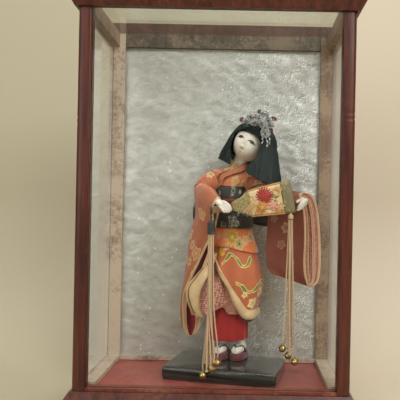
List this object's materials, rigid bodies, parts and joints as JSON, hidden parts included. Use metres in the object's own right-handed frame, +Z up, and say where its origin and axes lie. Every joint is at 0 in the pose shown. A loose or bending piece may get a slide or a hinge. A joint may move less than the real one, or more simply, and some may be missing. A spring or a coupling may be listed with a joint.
{
  "type": "doll in display case",
  "caption": "Glazed lacquer case on a flared plinth holding a kimono doll with a battledore; the front pane slides up and the belled tassels swing.",
  "frame": {"origin": "on the surface the case stands on, under the middle of the case", "axes": "+Z up, +X to the right seen from the front, the front facing -Y"},
  "size_m": [0.308, 0.1592, 0.4535],
  "materials": {
    "lacquer": "dark reddish-brown lacquer, worn at the edges",
    "floor_red": "dull red lacquer",
    "glass": "clear window glass, slightly dusty",
    "silver_paper": "crinkled silver foil paper",
    "ply": "bare plywood",
    "black_lacquer": "polished black lacquer",
    "burgundy": "dull covered sandal",
    "white_paint": "matt white shell-powder paint",
    "orange_silk": "printed silk crepe",
    "brick_silk": "printed silk crepe",
    "red_silk": "plain silk crepe",
    "pink_silk": "small-patterned silk",
    "cream_silk": "padded silk lining",
    "gold_brocade": "woven brocade",
    "dark_brocade": "woven brocade with pale flecks",
    "straw": "wrapped straw and wood core",
    "hair": "combed silk thread",
    "silver_foil": "thin stamped foil",
    "painted_board": "padded and painted picture on a board",
    "cord_silk": "twisted cord",
    "black_thread": "wound thread",
    "brass": "tarnished brass"
  },
  "bodies": {
    "case": {"base_plinth": "lacquer", "floor_panel": "floor_red", "front_left_post": "lacquer", "front_right_post": "lacquer", "back_left_post": "lacquer", "back_right_post": "lacquer", "front_sill": "lacquer", "left_sill": "lacquer", "right_sill": "lacquer", "back_sill": "lacquer", "front_head_rail": "lacquer", "front_inner_rail": "lacquer", "left_top_rail": "lacquer", "right_top_rail": "lacquer", "back_top_rail": "lacquer", "cornice_front": "lacquer", "cornice_right": "lacquer", "cornice_back": "lacquer", "cornice_left": "lacquer", "left_pane": "glass", "right_pane": "glass", "top_pane": "glass", "back_board": "ply", "silver_card": "silver_paper", "stand": "black_lacquer", "underskirt": "red_silk", "inner_kimono": "pink_silk", "kimono_skirt": "orange_silk", "padded_hem": "cream_silk", "turned_front": "cream_silk", "body_core": "straw", "bodice": "orange_silk", "battledore": "painted_board", "obi": "dark_brocade", "obi_cord": "red_silk", "collar": "gold_brocade", "obi_bow": "dark_brocade", "right_arm": "white_paint", "right_sleeve": "orange_silk", "left_arm": "white_paint", "left_sleeve": "brick_silk", "head": "white_paint", "wig": "hair", "hair_ornament": "silver_foil", "left_leg": "white_paint", "left_sandal": "burgundy", "right_leg": "white_paint", "right_sandal": "burgundy"},
    "front_glass": {"front_pane": "glass"},
    "front_tassel": {"front_tassel_cap": "black_thread", "front_tassel_strands": "cord_silk", "front_bell_1": "brass", "front_bell_2": "brass", "front_bell_3": "brass"},
    "side_tassel": {"side_tassel_knot": "cord_silk", "side_tassel_strands": "cord_silk", "side_bell_1": "brass", "side_bell_2": "brass", "side_bell_3": "brass"}
  },
  "joints": [
    {"name": "front_glass_slide", "type": "slide", "parent": "case", "child": "front_glass", "axis": [0, 0, 1], "range_m": [0, 0.37]},
    {"name": "front_tassel_swing", "type": "hinge", "parent": "case", "child": "front_tassel", "pos_m": [-0.0041, -0.042, 0.2197], "axis": [0.1994, 0.9799, 0], "range_deg": [-8, 8]},
    {"name": "side_tassel_swing", "type": "hinge", "parent": "case", "child": "side_tassel", "pos_m": [0.0798, -0.0265, 0.2191], "axis": [0, 1, 0], "range_deg": [-8, 8]}
  ]
}
